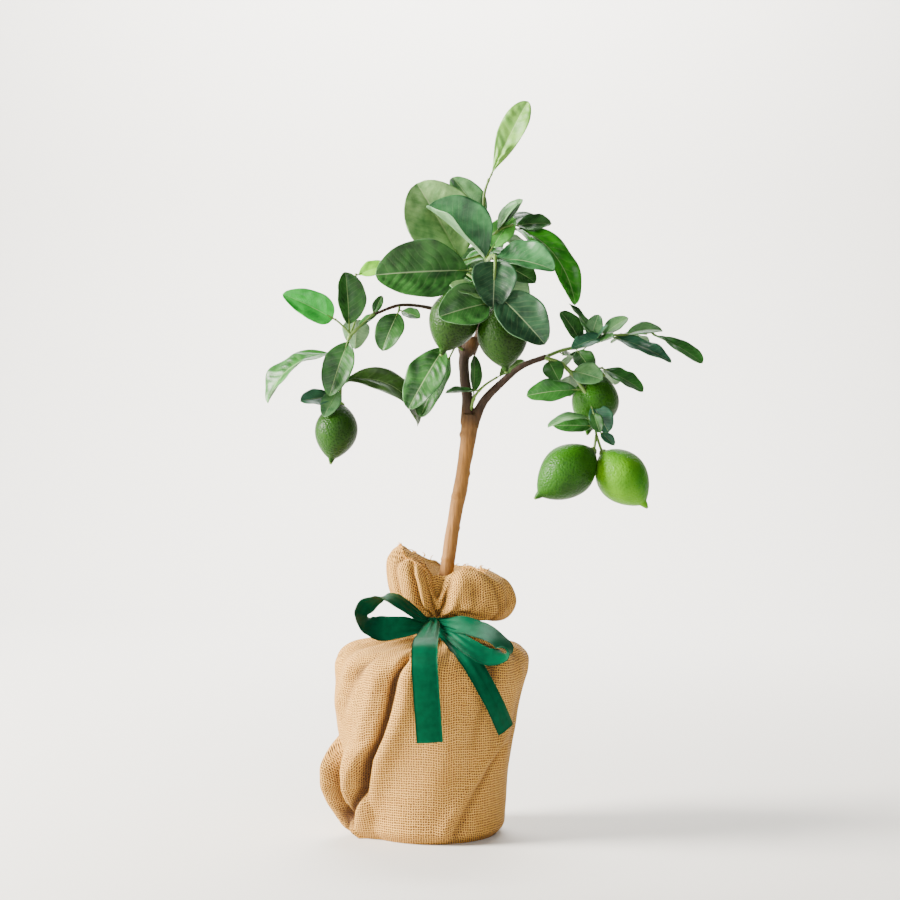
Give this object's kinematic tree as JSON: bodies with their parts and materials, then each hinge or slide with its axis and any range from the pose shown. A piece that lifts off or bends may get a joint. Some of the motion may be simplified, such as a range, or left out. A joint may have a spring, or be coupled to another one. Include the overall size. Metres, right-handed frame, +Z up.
{
  "type": "lime sapling with root ball",
  "caption": "Young lime tree with slim trunk, glossy leaves and green fruit, its root ball in a hessian sack gathered to a ruff and tied with a plain satin ribbon bow.",
  "frame": {"origin": "centre of the sack's flat underside, on the floor", "axes": "+Z up the trunk, -Y to the front where the bow is tied, +X to the right as the bow is faced"},
  "size_m": [0.4148, 0.2216, 0.7012],
  "materials": {
    "hessian": "matt open weave",
    "ribbon": "satin",
    "bark": "matt young bark",
    "foliage": "waxy leaf gloss"
  },
  "bodies": {
    "root": {"root_ball_sack": "hessian", "sack_ruff": "hessian", "ribbon_band": "ribbon", "ribbon_knot": "ribbon", "ribbon_loop_left": "ribbon", "ribbon_loop_right": "ribbon", "ribbon_tail_front": "ribbon", "ribbon_tail_right": "ribbon", "trunk": "bark", "bough_leader": "bark", "bough_crown": "bark", "bough_right": "bark", "bough_left": "bark", "foliage_crown_top": "foliage", "foliage_crown_left": "foliage", "foliage_crown_front": "foliage", "foliage_crown_back": "foliage", "foliage_left": "foliage", "foliage_left_inner": "foliage", "foliage_low_left": "foliage", "foliage_fork": "foliage", "foliage_right_upper": "foliage", "foliage_right_lower": "foliage"}
  },
  "joints": []
}
